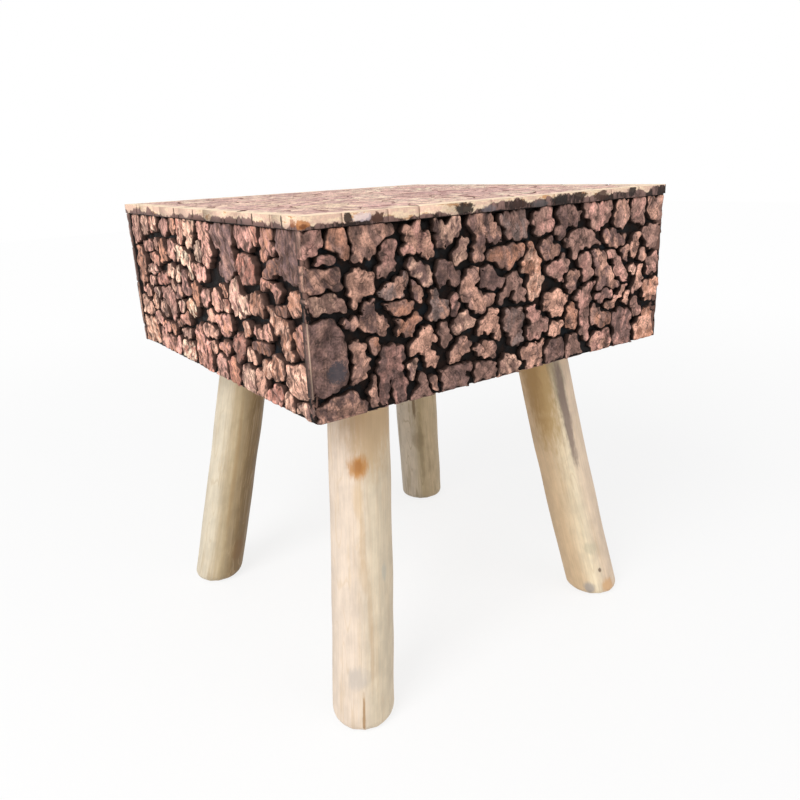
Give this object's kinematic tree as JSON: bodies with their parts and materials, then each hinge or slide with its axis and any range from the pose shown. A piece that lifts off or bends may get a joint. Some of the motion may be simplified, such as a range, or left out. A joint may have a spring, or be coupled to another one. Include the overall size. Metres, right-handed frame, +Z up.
{
  "type": "square stool",
  "caption": "Square stool: a box seat clad in sawn driftwood slices set in dark filler, standing on splayed peeled-log legs bolted up into the box.",
  "frame": {"origin": "on the floor, under the middle of the square seat", "axes": "+Z up, -Y is the front face and -X the left face of the box"},
  "size_m": [0.4, 0.4, 0.45],
  "materials": {
    "slices_top": "sawn and sanded driftwood slices, thin satin sealer, in near black filler",
    "slices_side": "sawn driftwood slices, thin satin sealer, in near black filler",
    "board": "plain plywood, matte",
    "block": "plain pine, matte",
    "log": "peeled and sanded log, satin",
    "steel": "bright zinc"
  },
  "bodies": {
    "root": {"slices_top": "slices_top", "slices_front": "slices_side", "slices_back": "slices_side", "slices_left": "slices_side", "slices_right": "slices_side", "seat_board": "board", "apron_front": "board", "apron_back": "board", "apron_left": "board", "apron_right": "board", "floor_board": "board", "corner_block_front_left": "block", "corner_block_front_right": "block", "corner_block_back_left": "block", "corner_block_back_right": "block", "block_screw_front_left_1": "steel", "block_screw_front_left_2": "steel", "block_screw_front_right_1": "steel", "block_screw_front_right_2": "steel", "block_screw_back_left_1": "steel", "block_screw_back_left_2": "steel", "block_screw_back_right_1": "steel", "block_screw_back_right_2": "steel", "leg_front_left": "log", "leg_front_right": "log", "leg_back_left": "log", "leg_back_right": "log", "hanger_bolt_front_left": "steel", "hanger_bolt_front_right": "steel", "hanger_bolt_back_left": "steel", "hanger_bolt_back_right": "steel", "t_nut_front_left": "steel", "t_nut_front_right": "steel", "t_nut_back_left": "steel", "t_nut_back_right": "steel"}
  },
  "joints": []
}
